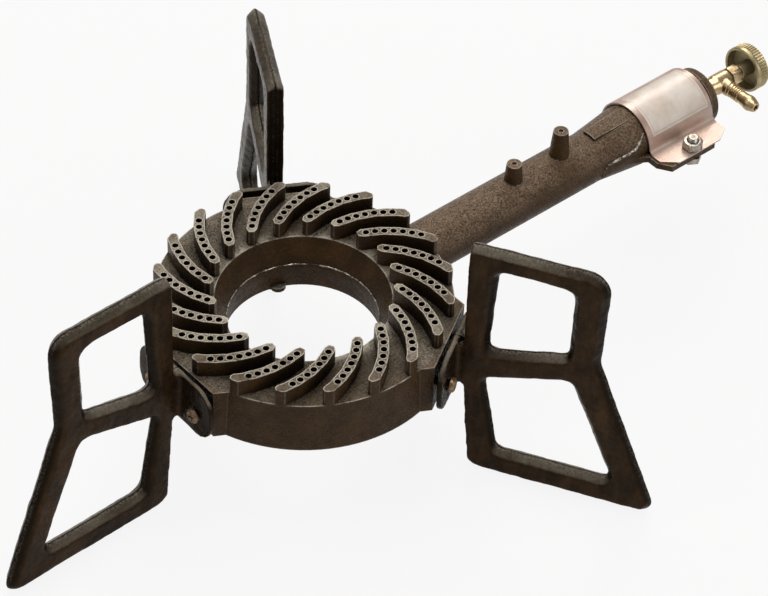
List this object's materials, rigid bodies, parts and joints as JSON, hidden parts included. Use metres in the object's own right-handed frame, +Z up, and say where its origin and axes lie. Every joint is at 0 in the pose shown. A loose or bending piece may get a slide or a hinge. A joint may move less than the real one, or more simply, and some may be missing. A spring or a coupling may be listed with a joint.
{
  "type": "ring gas burner on three legs",
  "caption": "Cast-iron swirl-ribbed ring gas burner on bolted ladder legs, with a mixing tube, sliding air shutter and brass needle valve with hose tail.",
  "frame": {"origin": "middle of the footprint's bounding box on the floor", "axes": "+X from the ring along the mixing tube to the knob, +Y to the left of that, +Z up"},
  "size_m": [0.6676, 0.4306, 0.2029],
  "materials": {
    "cast_iron": "semi-gloss dark brown-black paint over sand-cast iron",
    "screw": "dull steel with a rusty brown film",
    "sheet": "plain rolled sheet",
    "zinc": "zinc plated",
    "brass": "turned",
    "stem_brass": "turned",
    "knob_brass": "turned, rolled rim",
    "packing": "matt white"
  },
  "bodies": {
    "burner": {"burner_casting": "cast_iron", "leg_opposite": "cast_iron", "leg_opposite_screw_1": "screw", "leg_opposite_screw_2": "screw", "leg_left": "cast_iron", "leg_left_screw_1": "screw", "leg_left_screw_2": "screw", "leg_right": "cast_iron", "leg_right_screw_1": "screw", "leg_right_screw_2": "screw", "valve_body": "brass", "injector_jet": "brass", "hose_tail": "brass", "gland_packing": "packing", "gland_nut": "brass"},
    "shutter": {"air_shutter": "sheet", "shutter_bolt": "zinc", "shutter_nut": "zinc"},
    "stem": {"valve_stem": "stem_brass"},
    "knob": {"knob": "knob_brass", "knob_screw": "zinc"}
  },
  "joints": [
    {"name": "shutter_slide", "type": "slide", "parent": "burner", "child": "shutter", "axis": [1, 0, 0], "range_m": [-0.014, 0.003]},
    {"name": "stem_slide", "type": "slide", "parent": "burner", "child": "stem", "axis": [1, 0, 0], "range_m": [0, 0.002]},
    {"name": "knob_turn", "type": "hinge", "parent": "stem", "child": "knob", "pos_m": [0.32443, -0.00216, 0.0976], "axis": [1, 0, 0], "range_deg": [0, 720]}
  ],
  "couplings": [
    {"joint": "stem_slide", "follows": "knob_turn", "m_per_rad": 0.00015915}
  ]
}
